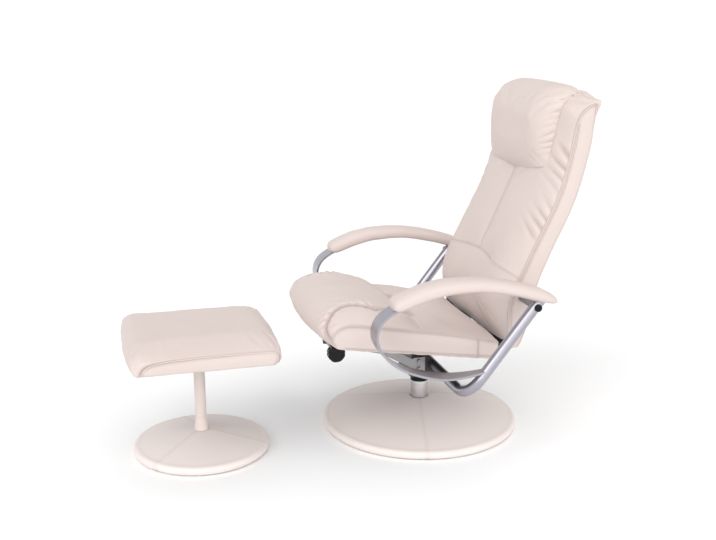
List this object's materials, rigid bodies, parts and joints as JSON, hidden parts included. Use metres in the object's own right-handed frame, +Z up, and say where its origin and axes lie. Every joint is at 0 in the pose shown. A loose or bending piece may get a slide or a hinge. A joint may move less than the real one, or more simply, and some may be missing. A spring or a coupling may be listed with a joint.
{
  "type": "recliner chair with footstool",
  "caption": "Swivel recliner in cream leatherette on a round padded base with looped silver arms, a sliding seat coupled to the backrest, and a matching footstool.",
  "frame": {"origin": "on the floor at the swivel axis of the chair, at the centre of its round base", "axes": "+Z up along the swivel axis, -Y the way the sitter looks, +X to the sitter's left"},
  "size_m": [0.7314, 1.2659, 0.9972],
  "materials": {
    "cream_leatherette": "soft cream leatherette with a fine grain",
    "dark_steel": "dark oiled steel plate",
    "foam": "cut upholstery foam",
    "felt": "dark felt glides",
    "chrome": "polished chrome column",
    "zinc_steel": "zinc-plated steel",
    "satin_silver": "satin silver coated tube",
    "black_plastic": "gloss black plastic",
    "nylon": "natural nylon",
    "plywood": "birch plywood",
    "cream_paint": "cream painted steel"
  },
  "bodies": {
    "base": {"chair_base_cover": "cream_leatherette", "chair_base_core": "dark_steel", "chair_base_foam": "foam", "chair_base_glides": "felt", "column_tube": "chrome", "column_collar": "black_plastic", "column_bush": "nylon", "thrust_washer": "nylon"},
    "frame": {"swivel_spindle": "zinc_steel", "hub_housing": "dark_steel", "rear_u_tube": "satin_silver", "left_hoop": "satin_silver", "right_hoop": "satin_silver", "left_arm_pad": "cream_leatherette", "right_arm_pad": "cream_leatherette", "left_slide_rail": "zinc_steel", "right_slide_rail": "zinc_steel", "rail_bolts": "zinc_steel", "clamp_nut": "zinc_steel", "pivot_bolts": "black_plastic", "pivot_sleeves": "zinc_steel"},
    "knob": {"clamp_rod": "zinc_steel", "clamp_knob": "black_plastic"},
    "seat": {"seat_board": "plywood", "seat_cushion": "cream_leatherette", "slot_brackets": "dark_steel", "seat_hinge_arms": "dark_steel", "seat_screws": "zinc_steel"},
    "back": {"back_board": "plywood", "back_front_cushion": "cream_leatherette", "back_rear_panel": "cream_leatherette", "head_pillow": "cream_leatherette", "back_side_plates": "dark_steel", "pivot_bushes": "nylon", "back_hinge_brackets": "dark_steel", "hinge_pins": "zinc_steel"},
    "footstool": {"stool_base_cover": "cream_leatherette", "stool_base_core": "dark_steel", "stool_base_foam": "foam", "stool_base_glides": "felt", "stool_post": "cream_paint", "stool_post_collar": "cream_paint", "stool_top_plate": "dark_steel", "stool_board": "plywood", "stool_cushion": "cream_leatherette", "stool_screws": "zinc_steel"}
  },
  "joints": [
    {"name": "swivel", "type": "hinge", "parent": "base", "child": "frame", "pos_m": [0, 0, 0.16], "axis": [0, 0, 1], "continuous": true},
    {"name": "recline", "type": "hinge", "parent": "frame", "child": "back", "pos_m": [0, 0.205, 0.433], "axis": [-1, 0, 0], "range_deg": [0, 20]},
    {"name": "seat_slide", "type": "slide", "parent": "frame", "child": "seat", "axis": [0, -0.9848, 0.1736], "range_m": [0, 0.06]},
    {"name": "knob_turn", "type": "hinge", "parent": "frame", "child": "knob", "pos_m": [0.18, -0.299, 0.3], "axis": [1, 0, 0], "range_deg": [0, 360]},
    {"name": "footstool_slide", "type": "slide", "parent": "base", "child": "footstool", "axis": [0, -1, 0], "range_m": [0, 0.3]}
  ],
  "couplings": [
    {"joint": "seat_slide", "follows": "recline", "m_per_rad": 0.17013}
  ]
}
